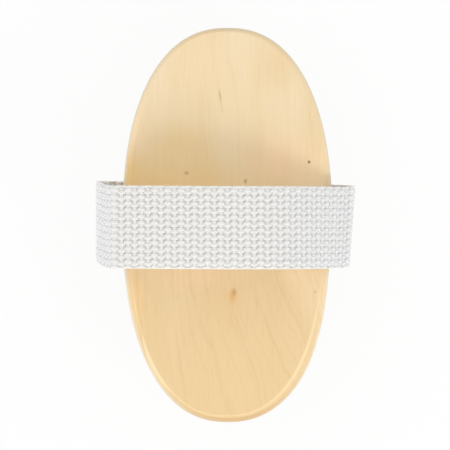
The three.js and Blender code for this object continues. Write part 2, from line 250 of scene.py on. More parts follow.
def make_object(name, points, faces, smooth=True):
    """A mesh object from an array of points and a list of faces, or an array of quads."""
    mesh = bpy.data.meshes.new(name)
    faces = faces.tolist() if isinstance(faces, np.ndarray) else faces
    mesh.from_pydata(np.asarray(points).reshape(-1, 3).tolist(), [], faces)
    mesh.polygons.foreach_set("use_smooth", [smooth] * len(mesh.polygons))
    mesh.update()
    piece = bpy.data.objects.new(name, mesh)
    bpy.context.scene.collection.objects.link(piece)
    return piece


def angles(count):
    """Even angles round a full turn."""
    return np.linspace(0, TURN, count, endpoint=False)


def tube_quads(rings, sides):
    """Quads between neighbouring rings of points, wound so that rings that turn anticlockwise seen
    from the last one give faces that point outwards."""
    ring = np.arange(rings - 1)[:, None] * sides
    side = np.arange(sides)[None, :]
    after = (side + 1) % sides
    quads = np.stack([ring + side, ring + after, ring + sides + after, ring + sides + side], axis=-1)
    return quads.reshape(-1, 4)


def stack_faces(rings, sides, start=0):
    """The quads of a stack of rings whose first point is number start, and a face over each end."""
    first = start + np.arange(sides)
    ends = [first[::-1].tolist(), (first + (rings - 1) * sides).tolist()]
    return (tube_quads(rings, sides) + start).tolist() + ends


def closed_stack(name, rings, smooth=True):
    """A closed piece through a stack of rings, an array of shape (rings, sides, 3)."""
    return make_object(name, rings, stack_faces(*rings.shape[:2]), smooth)


def set_uv(piece, values):
    """Gives each face corner the UV of its vertex, from an array with one row for each vertex. Where
    a face closes a yarn's ring, so v falls by more than half, it goes on to 1 instead of back to 0."""
    mesh = piece.data
    layer = mesh.uv_layers.new(name="yarn")
    corner = np.zeros(len(mesh.loops), dtype=np.int32)
    mesh.loops.foreach_get("vertex_index", corner)
    first = np.zeros(len(mesh.polygons), dtype=np.int32)
    mesh.polygons.foreach_get("loop_start", first)
    size = np.zeros(len(mesh.polygons), dtype=np.int32)
    mesh.polygons.foreach_get("loop_total", size)
    uv = values[corner]
    highest = np.repeat(np.maximum.reduceat(uv[:, 1], first), size)
    uv[:, 1] += highest - uv[:, 1] > 0.5
    layer.data.foreach_set("uv", uv.astype(np.float32).ravel())


def set_tone(piece, values):
    """A number for each vertex, which the materials read as the attribute tone: 0 to 1 from a fibre's or
    yarn's one tone to the other, and on yarn up to the selvedge's tone, for the painted light that
    brightens the selvedge."""
    layer = piece.data.attributes.new("tone", "FLOAT", "POINT")
    layer.data.foreach_set("value", values.astype(np.float32))


def apply_modifiers(piece):
    """Keeps the piece's mesh as its modifiers leave it, and drops them."""
    graph = bpy.context.evaluated_depsgraph_get()
    finished = bpy.data.meshes.new_from_object(piece.evaluated_get(graph))
    piece.modifiers.clear()
    piece.data = finished


def cut(piece, cutter):
    """Takes the cutter's volume out of the piece, and removes the cutter."""
    boolean = piece.modifiers.new("cut", "BOOLEAN")
    boolean.operation = "DIFFERENCE"
    boolean.solver = "EXACT"
    boolean.object = cutter
    apply_modifiers(piece)
    bpy.data.objects.remove(cutter)


def fit(piece, slot, *nodes):
    """Fixes a finished piece to the one body, and hides the nodes that it replaces. slot is not used."""
    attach(piece, "root")
    if nodes:
        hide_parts(*nodes)
    return piece


def oval_rings(levels):
    """Rings of the oval |x / a|^p + |y / b|^p = 1, one for each (side inset, end inset, x, y, z),
    which shorten a and b and move the ring. A share of x that grows with y makes it slightly
    egg-shaped. On the right, each sanded place moves the edge by out x (1 - (distance / reach)^2)^2,
    which fades to nothing where the flat face starts."""
    side, end, aside, ahead, height = np.array(levels).T[:, :, None]
    angle = angles(OVAL_POINTS)[None, :]
    bend = 2 / OVAL_POWER
    x = aside + (HALF_WIDTH - side) * np.sign(np.cos(angle)) * np.abs(np.cos(angle)) ** bend
    y = ahead + (HALF_LENGTH - end) * np.sign(np.sin(angle)) * np.abs(np.sin(angle)) ** bend
    x = x * (1 + EGG * y / HALF_LENGTH)
    for middle, reach, out in SANDED:
        near = (1 - ((y - middle) / reach) ** 2).clip(0, 1) ** 2
        x = x + out * near * (x / SANDED_FADE).clip(0, 1) * (1 - side / RIM_SIDE_INSET).clip(0, 1)
    return np.stack([x, y, np.broadcast_to(height, x.shape)], axis=-1)


def level(inset, height):
    """An upright cut's ring: the same inset all round."""
    return inset, inset, 0, 0, height


def rim_levels(height, way):
    """Rings of a rounded rim, from the wall to the flat face at the given height. Along the rim's
    profile the slope turns quickly to the arris, then evenly to upright: inset and drop are the sums
    of its cosines and sines. way is 1 for a face that looks up, and -1 for one that looks down."""
    arris = np.linspace(0, ARRIS_TURN, ARRIS_STEPS)
    slope = np.concatenate([arris, np.linspace(ARRIS_TURN, TURN / 4, RIM_STEPS)[1:]])
    step = np.concatenate([np.full(ARRIS_STEPS, ARRIS_LENGTH / ARRIS_STEPS),
                           np.full(RIM_STEPS - 1, RIM_DROP * (TURN / 4 - ARRIS_TURN) / (RIM_STEPS - 1))])
    inset = 1 - np.cumsum(step * np.cos(slope)) / np.sum(step * np.cos(slope))
    drop = np.cumsum(step * np.sin(slope)) / np.sum(step * np.sin(slope))
    inset, drop = np.concatenate([[1], inset]), np.concatenate([[0], drop])
    columns = [inset * RIM_SIDE_INSET, inset * RIM_END_INSET, inset * RIM_DRIFT[0], inset * RIM_DRIFT[1],
               height - way * drop * RIM_DROP]
    return [tuple(row) for row in np.stack(columns, axis=-1)[::-1]]


def box_object(low, high):
    """A closed box between two corners, used only to cut."""
    corner = np.array([[low.x, high.x], [low.y, high.y], [low.z, high.z]])
    ring = [(0, 0), (1, 0), (1, 1), (0, 1)]
    points = np.array([[corner[0][i], corner[1][j], corner[2][k]] for k in (0, 1) for i, j in ring])
    return closed_stack("cutter", points.reshape(2, 4, 3), False)


def slot_cutter(side, shift):
    """The slot for one tail of the strap, open at the board's side."""
    inner = HALF_WIDTH - TAIL_LENGTH - CLEARANCE
    outer = HALF_WIDTH + OVERRUN
    near, far = sorted((side * inner, side * outer))
    half = STRAP_WIDTH / 2 + CLEARANCE
    depth = STRAP_THICKNESS + 2 * CLEARANCE
    low = Vector((near, shift - half, SEAM - OVERRUN))
    return box_object(low, Vector((far, shift + half, SEAM + depth)))


def back_board():
    """The upper board: a fine arris and a rounded rim above, a small bevel at the glue line below,
    and a slot for each tail."""
    levels = [level(SEAM_CHAMFER, SEAM), level(0, SEAM + SEAM_CHAMFER), *rim_levels(BACK_TOP, 1)]
    board = closed_stack("back_board_wood", oval_rings(levels))
    cut(board, slot_cutter(-1, LEFT_SHIFT))
    cut(board, slot_cutter(1, 0))
    board.data.set_sharp_from_angle(angle=SHARP_ANGLE)
    return fit(board, "board_wood", "back_board")


def tuft_places():
    """Where the tufts stand: rows across the board, each spread evenly inside the margin, as a list
    of rows of (x, y)."""
    margin = RIM_WALL + CLEARANCE + BED_MARGIN
    half_width, half_length = HALF_WIDTH - margin, HALF_LENGTH - margin
    reach = half_length - END_ROW_INSET
    count = math.floor(2 * reach / ROW_PITCH) + 1
    rows = []
    for y in np.linspace(-reach, reach, count):
        half = half_width * (1 - (abs(y) / half_length) ** OVAL_POWER) ** (1 / OVAL_POWER)
        in_row = math.floor(2 * half / TUFT_PITCH) + 1
        rows.append([(x, y) for x in np.linspace(-half, half, in_row)])
    return rows


def round_cutters(places, radius, low, high):
    """Upright cylinders at the given places, as one mesh."""
    angle = angles(HOLE_POINTS)
    circle = np.stack([np.cos(angle), np.sin(angle)], axis=-1) * radius
    points, faces = [], []
    for number, middle in enumerate(places):
        for height in (low, high):
            points.append(np.column_stack([circle + middle, np.full(HOLE_POINTS, height)]))
        faces += stack_faces(2, HOLE_POINTS, number * 2 * HOLE_POINTS)
    return make_object("cutter", np.concatenate(points), faces, False)


def bristle_board(rows):
    """The lower board: rounded rim below, recess above for the beds, one round hole for each tuft."""
    levels = [*rim_levels(FACE_BOTTOM, -1)[::-1], level(0, SEAM - SEAM_CHAMFER), level(SEAM_CHAMFER, SEAM)]
    board = closed_stack("bristle_board_wood", oval_rings(levels))
    recess_floor = BED_TOP - BED_THICKNESS - CLEARANCE
    recess = oval_rings([level(RIM_WALL, recess_floor), level(RIM_WALL, SEAM + OVERRUN)])
    cut(board, closed_stack("cutter", recess, False))
    places = [spot for row in rows for spot in row]
    cut(board, round_cutters(places, HOLE_RADIUS, FACE_BOTTOM - OVERRUN, recess_floor + OVERRUN))
    board.data.set_sharp_from_angle(angle=SHARP_ANGLE)
    return fit(board, "board_wood", "bristle_board")


def tuft_fibres(places, random):
    """Rings of all the fibres of some tufts, as an array (fibres, rings, sides, 3), and each
    fibre's tone. In its hole a fibre stands on a sunflower spiral, and below it leans out by first
    share x depth + second share x depth squared."""
    number = np.arange(FIBRES)
    spiral = number * math.pi * (3 - math.sqrt(5))
    reach = (HOLE_RADIUS - CLEARANCE) * np.sqrt((number + 0.5) / FIBRES)
    middle = np.repeat(np.array(places), FIBRES, axis=0)
    count = len(middle)
    turn = np.tile(spiral, len(places)) + np.repeat(random.uniform(0, TURN, len(places)), FIBRES)
    radius = np.tile(reach, len(places)) * random.uniform(*ROOT_SHARES, count)
    root = middle + np.stack([np.cos(turn), np.sin(turn)], axis=-1) * radius[:, None]
    lean = radius * (TUFT_SPREAD - 1) * random.uniform(*LEAN_SHARES, count)
    turned = turn + random.normal(0, LEAN_TURN, count)
    sway = np.stack([np.cos(turned), np.sin(turned)], axis=-1) * lean[:, None]
    sway += random.normal(0, FIBRE_STRAY, (count, 2))
    tip = np.abs(random.normal(0, TIP_UNEVEN / 2, count)).clip(0, 2 * TIP_UNEVEN)
    share = np.linspace(0, 1, FIBRE_STEPS + 1)[None, :]
    top = BED_TOP - BED_THICKNESS / 2
    height = top + (tip[:, None] - top) * share
    below = ((FACE_BOTTOM - height) / FACE_BOTTOM).clip(0, 1)
    bend = BEND_SHARES[0] * below + BEND_SHARES[1] * below**2
    path = root[:, None, :] + sway[:, None, :] * bend[..., None]
    thick = FIBRE_RADIUS * random.uniform(*THICK_SHARES, count)[:, None] * (1 - (1 - TIP_SHARE) * below)
    around = turn[:, None, None] - angles(FIBRE_SIDES)
    x = path[..., 0, None] + thick[..., None] * np.cos(around)
    y = path[..., 1, None] + thick[..., None] * np.sin(around)
    z = np.broadcast_to(height[..., None], x.shape)
    return np.stack([x, y, z], axis=-1), random.uniform(0, 1, count)


def tuft_field(field, rows):
    """One field's tufts, as thin tapered fibres that run from the bed down through the holes. With
    four sides, a fibre's ends are quads like its walls."""
    random = np.random.default_rng(FIELD_SEED + field)
    places = [spot for row in rows for spot in row]
    rings, tone = tuft_fibres(places, random)
    each = math.prod(rings.shape[1:3])
    faces = np.array(stack_faces(*rings.shape[1:3])) + each * np.arange(len(rings))[:, None, None]
    piece = make_object(f"tufts_{field + 1}", rings, faces.reshape(-1, FIBRE_SIDES))
    set_tone(piece, np.repeat(tone, each))
    return fit(piece, "bristle_fibre", f"tuft_field_{field + 1}")


def strap_knots():
    """Where the strap's centreline passes, seen along +Y: x, z, heading in degrees from +X, shift
    along the board, and how far its +Y edge leans out."""
    tail = SEAM + CLEARANCE + STRAP_THICKNESS / 2
    top = strap_high.z - STRAP_THICKNESS / 2
    turn = math.radians(FOLD_TURN)
    fold_end = -(HALF_WIDTH + FOLD_REACH)
    tail_end = HALF_WIDTH - TAIL_LENGTH
    knee = (HALF_WIDTH * KNEE_SHARES[0], tail + (top - tail) * KNEE_SHARES[1])
    shin = (HALF_WIDTH * SHIN_SHARES[0], tail + (top - tail) * SHIN_SHARES[1])
    return [
        (-tail_end, tail, 180, LEFT_SHIFT, 0),
        (-HALF_WIDTH, tail, 180, LEFT_SHIFT, 0),
        (strap_low.x + STRAP_THICKNESS / 2, tail + LEFT_RISE, 90, LEFT_SHIFT, 0),
        (fold_end - FOLD_RADIUS * math.sin(turn), top - FOLD_RADIUS * (1 - math.cos(turn)),
         FOLD_TURN, TOP_SHIFT, 0),
        (fold_end, top, 0, TOP_SHIFT, 0),
        (FALL_START, top, 0, SLOPE_SHIFT, 0),
        (*knee, KNEE_HEADING, SLOPE_SHIFT, 0),
        (*shin, SHIN_HEADING, SLOPE_SHIFT, RIGHT_LEAN / 2),
        (HALF_WIDTH + RIGHT_BULGE - STRAP_THICKNESS / 2, tail + RIGHT_RISE, -90, TOP_SHIFT / 2, RIGHT_LEAN),
        (HALF_WIDTH, tail, -180, 0, 0),
        (tail_end, tail, -180, 0, 0),
    ]


def strap_line():
    """The strap's centreline in fine steps: arc length, then x, z, tangent x, tangent z, shift and
    lean there. From knot to knot it is a cubic whose handles follow the knots' headings."""
    share = np.linspace(0, 1, CURVE_SAMPLES)[:, None]
    eased = share[:, 0] ** 2 * (3 - 2 * share[:, 0])
    parts = []
    knots = strap_knots()
    for start, end in zip(knots, knots[1:]):
        p0, p3 = np.array(start[:2]), np.array(end[:2])
        reach = HANDLE_SHARE * np.linalg.norm(p3 - p0)
        leave, arrive = (np.array([math.cos(math.radians(k[2])), math.sin(math.radians(k[2]))]) * reach
                         for k in (start, end))
        p1, p2 = p0 + leave, p3 - arrive
        spot = (1 - share) ** 3 * p0 + 3 * (1 - share) ** 2 * share * p1
        spot = spot + 3 * (1 - share) * share**2 * p2 + share**3 * p3
        way = (1 - share) ** 2 * (p1 - p0) + 2 * (1 - share) * share * (p2 - p1) + share**2 * (p3 - p2)
        way = way / np.linalg.norm(way, axis=1)[:, None]
        shift = start[3] + (end[3] - start[3]) * eased
        lean = start[4] + (end[4] - start[4]) * eased
        parts.append(np.column_stack([spot, way, shift, lean])[:-1])
    parts.append(np.array([[*p3, *way[-1], end[3], end[4]]]))
    line = np.concatenate(parts)
    step = np.linalg.norm(np.diff(line[:, :2], axis=0), axis=1)
    return np.concatenate([[0], np.cumsum(step)]), line


LENGTHS, LINE = strap_line()
STRAP_LENGTH = LENGTHS[-1]
WARP_STATIONS = np.linspace(0, STRAP_LENGTH, round(STRAP_LENGTH / PICK * STEPS_PER_PICK))


def on_strap(along, across, above):
    """Points at distances along the strap's centreline, across it towards +Y, and above it towards
    the strap's outer face, as one array with x, y, z last."""
    x, z, way_x, way_z, shift, lean = (np.interp(along, LENGTHS, column) for column in LINE.T)
    size = np.hypot(way_x, way_z)
    out_x, out_z = -way_z / size, way_x / size
    x = x + out_x * above + lean * across / (STRAP_WIDTH / 2)
    return np.stack([x, across + shift, z + out_z * above], axis=-1)


def yarn_rings(along, across, above, half_width, half_depth):
    """Rings of an oval yarn whose middle runs through the given arrays: each ring stands square to
    the yarn's climb, and is half_width by half_depth."""
    climb = np.gradient(above, along)
    steep = np.sqrt(1 + climb**2)
    angle = angles(YARN_SIDES)[None, :]
    side = half_width[:, None] * np.cos(angle)
    rise = half_depth[:, None] * np.sin(angle)
    return on_strap(along[:, None] - rise * (climb / steep)[:, None], across[:, None] + side,
                    above[:, None] + rise / steep[:, None])


def yarn_uv(along, number):
    """UV of a yarn's rings: millimetres along it, and a turn round it, shifted by its number so that
    no two yarns match."""
    u = along[:, None] / MM + PATTERN_STEP * number + np.zeros(YARN_SIDES)
    v = np.arange(YARN_SIDES)[None, :] / YARN_SIDES + 0 * u
    return np.stack([u, v], axis=-1).reshape(-1, 2)


def bundle(name, yarns, tones):
    """One piece from many yarns, each (rings, uv), closed at both ends. A yarn's tone is one number, or
    one for each ring."""
    points, faces, uv, tone, start = [], [], [], [], 0
    for (rings, spots), shade in zip(yarns, tones):
        count = len(rings)
        faces += stack_faces(count, YARN_SIDES, start)
        points.append(rings.reshape(-1, 3))
        uv.append(spots)
        tone.append(np.repeat(np.broadcast_to(shade, count), YARN_SIDES))
        start += count * YARN_SIDES
    piece = make_object(name, np.concatenate(points), faces)
    set_uv(piece, np.concatenate(uv))
    set_tone(piece, np.concatenate(tone))
    return piece


def warp_yarn(number, pair_middle, way, random):
    """A warp end of a pair: height = rise x cos(pi x along / pick), drawn flat over the weft, where
    the end spreads, and it passes its partner half way between wefts. way is -1 or 1 for the pair's
    two ends, and random sets it a little aside at each weft."""
    along = WARP_STATIONS
    wave = way * np.cos(math.pi * along / PICK)
    crest = wave**2
    above = WARP_RISE * np.sign(wave) * np.abs(wave) ** WARP_FLATNESS
    wefts = np.arange(0, STRAP_LENGTH + PICK, PICK)
    aside = np.interp(along, wefts, random.normal(0, YARN_STRAY, len(wefts)))
    across = pair_middle + way * (CROSS_HALF + (PAIR_HALF - CROSS_HALF) * crest) + aside
    width = WARP_CROSS_WIDTH + (WARP_HALF_WIDTH - WARP_CROSS_WIDTH) * crest
    depth = np.full_like(along, WARP_HALF_DEPTH)
    return yarn_rings(along, across, above, width, depth), yarn_uv(along, number)


def edge_yarn(number, middle, way):
    """A finer, tighter end of the selvedge: height = rise x cos(pi x along / pick), times way."""
    along = WARP_STATIONS
    above = way * EDGE_RISE * np.cos(math.pi * along / PICK)
    across = np.full_like(along, middle)
    half = np.full_like(along, EDGE_HALF_WIDTH)
    return yarn_rings(along, across, above, half, half), yarn_uv(along, number)


def strap_warp():
    """The webbing's warp: pairs of ends across its width, half a wave apart, and finer ends in each
    selvedge. The two halves of the ends make two pieces."""
    random = np.random.default_rng(WEAVE_SEED)
    groups = {-1: [], 1: []}
    for pair in range(PAIRS):
        middle = (pair - (PAIRS - 1) / 2) * PAIR_PITCH
        for way in (-1, 1):
            groups[way].append(warp_yarn(2 * pair + (way > 0), middle, way, random))
    for side in (-1, 1):
        for end in range(EDGE_ENDS):
            middle = side * (PAIRS_HALF + (end + 1 / 2) * EDGE_PITCH)
            number = 2 * (PAIRS + end) + (side > 0)
            groups[side].append(edge_yarn(number, middle, 1 if end % 2 == 0 else -1))
    names = {-1: "strap_warp_first", 1: "strap_warp_second"}
    tones = {way: [*random.uniform(0, 1, PAIRS), *[SELVEDGE_LIGHT_TONE] * EDGE_ENDS] for way in (-1, 1)}
    return [bundle(names[way], groups[way], tones[way]) for way in (-1, 1)]


def strap_weft():
    """One thick weft yarn, there and back through the webbing, turning round the outermost ends at
    each edge. Each pick is a straight run whose height is crimp x sin(2 pi x distance from a pair's
    middle / pair pitch), so that it dips under the ends that rise, and each turn is a half circle
    in the strap's plane."""
    thin = 1 - EDGE_SQUEEZE
    edge = STRAP_WIDTH / 2 - thin * WEFT_HALF_WIDTH - PICK / 2
    bow = np.linspace(-TURN / 4, TURN / 4, TURN_STEPS + 1)[1:-1]
    along, across, crimp = [], [], []
    for pick in range(1, math.floor(STRAP_LENGTH / PICK) - 1):
        way = 1 if pick % 2 == 0 else -1
        run = np.linspace(-edge, edge, PICK_STEPS + 1) * way
        along += [np.full_like(run, pick * PICK), pick * PICK + PICK / 2 * (1 + np.sin(bow))]
        across += [run, way * (edge + PICK / 2 * np.cos(bow))]
        crimp += [np.full_like(run, -way * WEFT_CRIMP), np.zeros_like(bow)]
    along, across, crimp = (np.concatenate(values) for values in (along, across, crimp))
    squeeze = ((np.abs(across) - PAIRS_HALF) / EDGE_PITCH).clip(0, 1)
    fullness = 1 - EDGE_SQUEEZE * squeeze
    above = crimp * (1 - squeeze) * np.sin(TURN * (across / PAIR_PITCH + (PAIRS - 1) / 2))
    ahead = np.stack([np.gradient(along), np.gradient(across)], axis=-1)
    ahead /= np.linalg.norm(ahead, axis=1)[:, None]
    angle = angles(YARN_SIDES)[None, :]
    side = WEFT_HALF_WIDTH * fullness[:, None] * np.cos(angle)
    rise = WEFT_HALF_DEPTH * fullness[:, None] * np.sin(angle)
    rings = on_strap(along[:, None] - ahead[:, 1, None] * side, across[:, None] + ahead[:, 0, None] * side,
                     above[:, None] + rise)
    distance = np.concatenate([[0], np.cumsum(np.hypot(np.diff(along), np.diff(across)))])
    tone = WEFT_TONE + (SELVEDGE_LIGHT_TONE - WEFT_TONE) * squeeze
    return bundle("strap_weft", [(rings, yarn_uv(distance, 0))], [tone])


def strap_core():
    """The flat layer of straight stuffer yarns inside the webbing, as one thin band that shows only
    in the gaps of the weave."""
    along = np.linspace(0, STRAP_LENGTH, CORE_STEPS)[:, None]
    half = STRAP_WIDTH / 2 - 2 * EDGE_HALF_WIDTH
    across = np.array([-half, half, half, -half])[None, :]
    above = np.array([-CORE_HALF, -CORE_HALF, CORE_HALF, CORE_HALF])[None, :]
    return closed_stack("strap_core", on_strap(along, across, above), False)


def hand_strap():
    """The woven strap: its core is the sheet of cloth, and its yarns are the pieces on it."""
    core = fit(strap_core(), "strap_webbing", "hand_strap")
    yarns = [*strap_warp(), strap_weft()]
    for piece in yarns:
        fit(piece, "strap_webbing")
    return [core, *yarns]


def colour(red, green, blue):
    """A linear colour from the values 0 to 255 that a picture shows."""
    shares = np.array([red, green, blue]) / 255
    linear = np.where(shares <= 0.04045, shares / 12.92, ((shares + 0.055) / 1.055) ** 2.4)
    return (*linear.tolist(), 1.0)


def add(tree, kind, inputs=(), **settings):
    """A new node: inputs pairs the name or number of a socket with a value or with the output that
    feeds it."""
    node = tree.nodes.new(kind)
    for key, value in settings.items():
        setattr(node, key, value)
    for socket, value in dict(inputs).items():
        if isinstance(value, bpy.types.NodeSocket):
            tree.links.new(value, node.inputs[socket])
        else:
            node.inputs[socket].default_value = value
    return node


def maths(tree, operation, *values):
    """The outcome of one sum, from numbers or outputs."""
    return add(tree, "ShaderNodeMath", enumerate(values), operation=operation).outputs[0]


def times(tree, first, *others):
    """The product of all the values."""
    for other in others:
        first = maths(tree, "MULTIPLY", first, other)
    return first


def times_plus(tree, value, factor, base):
    """The sum value x factor + base."""
    return maths(tree, "MULTIPLY_ADD", value, factor, base)


def blended(tree, share, below, above):
    """Two colours mixed: share is 0 for below alone."""
    inputs = {0: share, 6: below, 7: above}
    return add(tree, "ShaderNodeMix", inputs, data_type="RGBA").outputs[2]


def between(tree, value, low, high, to_low=0.0, to_high=1.0):
    """A value eased from one range to another, and held at its ends. A named range gives low and
    high, and the outcomes there where they aren't 0 and 1."""
    inputs = {0: value, 1: low, 2: high, 3: to_low, 4: to_high}
    return add(tree, "ShaderNodeMapRange", inputs, interpolation_type="SMOOTHSTEP").outputs[0]


def evenly(tree, share, at_zero, at_one):
    """The straight run from one value to another, as a share goes from 0 to 1."""
    return add(tree, "ShaderNodeMapRange", {0: share, 3: at_zero, 4: at_one}).outputs[0]


def object_place(tree):
    """Where a point lies, in the piece's own metres."""
    return add(tree, "ShaderNodeTexCoord").outputs["Object"]


def split(tree, vector):
    """A vector's x, y and z."""
    return add(tree, "ShaderNodeSeparateXYZ", {0: vector}).outputs


def stretched(tree, place, scale):
    """Coordinates scaled along each axis."""
    return add(tree, "ShaderNodeMapping", {"Vector": place, "Scale": scale}).outputs[0]


def length(tree, vector):
    """How long a vector is."""
    return add(tree, "ShaderNodeVectorMath", {0: vector}, operation="LENGTH").outputs["Value"]


def noise(tree, place, cells, detail=2.0, roughness=0.5):
    """Soft random value from 0 to 1, with so many cells in a metre: the same all ways, or one number
    for each axis, which draws it out into streaks."""
    if isinstance(cells, tuple):
        place, cells = stretched(tree, place, cells), 1.0
    inputs = {"Vector": place, "Scale": cells, "Detail": detail, "Roughness": roughness}
    return add(tree, "ShaderNodeTexNoise", inputs).outputs[0]


WOOD_LOW = colour(240, 210, 160)
WOOD_HIGH = colour(247, 226, 188)
WOOD_WARM = colour(236, 204, 152)
WOOD_LATE = colour(226, 190, 138)
WOOD_FLECK = colour(222, 182, 126)
# painted shade on the walls
WOOD_WALL_SHADE = colour(230, 204, 158)
WOOD_RIM = colour(239, 229, 205)
# painted shade on the rim above the strap
WOOD_RIM_HIGH_SHADE = colour(222, 213, 189)
WOOD_END = colour(206, 170, 116)
# painted highlight along the arris
WOOD_ARRIS_HIGHLIGHT = colour(255, 231, 184)
WOOD_ARRIS_END_HIGHLIGHT = colour(251, 210, 140)
WOOD_DOT = colour(78, 52, 36)
WOOD_SCRATCH = colour(204, 176, 136)
WOOD_SPOT = colour(186, 142, 92)
WOOD_STREAK = colour(234, 178, 112)
# warm painted shade in the strap's shadow
WOOD_GOLD_SHADE = colour(245, 203, 124)
# a paler tone, and painted light that lifts the strap's shadow
WOOD_PALE_AND_LIGHT = colour(255, 228, 186)
WOOD_TAN = colour(236, 200, 146)
# warm painted light that lifts the strap's shadow
WOOD_ROSE_LIGHT = colour(255, 219, 177)
WOOD_STRAW = colour(255, 217, 156)
WOOD_TONES_AND_PAINTED_LIGHT = [  # broad changes of tone, and painted shade and painted light in and beside the strap's shadow: x, y, half width, half length, turn in degrees, strength and colour
    (-29 * MM, 10 * MM, 22 * MM, 20 * MM, 0, 0.55, WOOD_GOLD_SHADE),
    (-10 * MM, 16 * MM, 20 * MM, 12 * MM, 0, 0.4, WOOD_GOLD_SHADE),
    (31 * MM, 18 * MM, 14 * MM, 14 * MM, 0, 0.6, WOOD_PALE_AND_LIGHT),
    (-34 * MM, 34 * MM, 11 * MM, 15 * MM, 0, 0.95, WOOD_PALE_AND_LIGHT),
    (18 * MM, 55 * MM, 13 * MM, 15 * MM, 0, 0.42, WOOD_TAN),
    (31 * MM, -22 * MM, 11 * MM, 16 * MM, 0, 0.6, WOOD_PALE_AND_LIGHT),
    (0, -30 * MM, 12 * MM, 20 * MM, 0, 0.35, WOOD_TAN),
    (-9 * MM, 56 * MM, 12 * MM, 16 * MM, 0, 0.4, WOOD_PALE_AND_LIGHT),
    (-34 * MM, -28 * MM, 9 * MM, 20 * MM, 0, 0.6, WOOD_STRAW),
    (-35 * MM, 19 * MM, 8 * MM, 12 * MM, 0, 0.5, WOOD_GOLD_SHADE),
    (19 * MM, 22 * MM, 19 * MM, 15 * MM, 0, 0.62, WOOD_ROSE_LIGHT),
    (-16 * MM, 28 * MM, 17 * MM, 11 * MM, 0, 0.35, WOOD_GOLD_SHADE),
    (-12 * MM, -17 * MM, 26 * MM, 8 * MM, 0, 0.5, WOOD_ROSE_LIGHT),
    (24 * MM, -17 * MM, 10 * MM, 8 * MM, 0, 0.6, WOOD_PALE_AND_LIGHT),
]
WOOD_MARKS = [  # small marks on the back, in the same order
    (28.1 * MM, 21.7 * MM, 0.75 * MM, 0.75 * MM, 0, 1.0, WOOD_DOT),
    (6.2 * MM, 15.1 * MM, 0.9 * MM, 1.3 * MM, 0, 0.8, WOOD_SPOT),
    (-14.1 * MM, 17.9 * MM, 1.3 * MM, 1.1 * MM, 0, 0.6, WOOD_SPOT),
    (1.8 * MM, -24.5 * MM, 2.0 * MM, 4.2 * MM, 0, 0.75, WOOD_STREAK),
    (2.3 * MM, -23.1 * MM, 1.3 * MM, 1.9 * MM, 0, 0.55, WOOD_SPOT),
    (-2.5 * MM, 44.4 * MM, 0.6 * MM, 3.9 * MM, 8, 0.85, WOOD_SCRATCH),
    (-1.9 * MM, 40.0 * MM, 0.6 * MM, 2.8 * MM, 3, 0.25, WOOD_SCRATCH),
    (30.2 * MM, -23.0 * MM, 0.7 * MM, 0.9 * MM, 0, 0.45, WOOD_SPOT),
]
COTTON_COOL = colour(240, 240, 240)
COTTON_WARM = colour(241, 239, 234)
COTTON_DEEP = colour(235, 234, 231)
# painted shade in the weave's gaps
COTTON_GAP = colour(234, 233, 230)
# painted shade on the strap's sloping ends
COTTON_END_SHADE = colour(228, 229, 231)
# painted light on the selvedge
COTTON_SELVEDGE_LIGHT = colour(250, 249, 245)
SISAL_PALE = colour(246, 232, 198)
SISAL_BROWN = colour(230, 206, 162)
SISAL_DEEP = colour(204, 172, 124)
STEEL_BRIGHT = colour(206, 208, 210)
STEEL_DULL = colour(160, 162, 164)
BRASS_BRIGHT = colour(222, 190, 120)
BRASS_DULL = colour(176, 144, 84)
WHITE = colour(255, 255, 255)
PAPER_WHITE = colour(250, 250, 250)
PAPER_SHADE = colour(246, 246, 246)


def new_finish(name, **sockets):
    """A new material, its node tree and its shader, with the given values on the shader's sockets."""
    material = bpy.data.materials.new(name)
    material.use_nodes = True
    shader = material.node_tree.nodes["Principled BSDF"]
    for socket, value in sockets.items():
        shader.inputs[socket.replace("_", " ")].default_value = value
    return material, material.node_tree, shader


def feed(tree, shader, **outputs):
    """Feeds outputs to the shader's sockets."""
    for socket, output in outputs.items():
        tree.links.new(output, shader.inputs[socket.replace("_", " ")])


def raised(tree, shader, height, depth):
    """Feeds a height from 0 to 1, worth depth in metres, to the shader as bump."""
    bump = add(tree, "ShaderNodeBump", {"Height": height, "Distance": depth, "Strength": 1.0})
    feed(tree, shader, Normal=bump.outputs[0])


def patched(tree, place, shade, patches, depth):
    """The shade with soft-edged oval patches on the back: each is nearest its own colour in its
    middle, and fades to nothing at its rim and at a depth below the back."""
    for x, y, half_width, half_length, turn, strength, tint in patches:
        inputs = {"Vector": place, "Location": (x, y, BACK_TOP), "Rotation": (0, 0, math.radians(turn)),
                  "Scale": (half_width, half_length, depth)}
        away = add(tree, "ShaderNodeMapping", inputs, vector_type="TEXTURE").outputs[0]
        shade = blended(tree, between(tree, length(tree, away), 1.0, 0.0, 0.0, strength), shade, tint)
    return shade


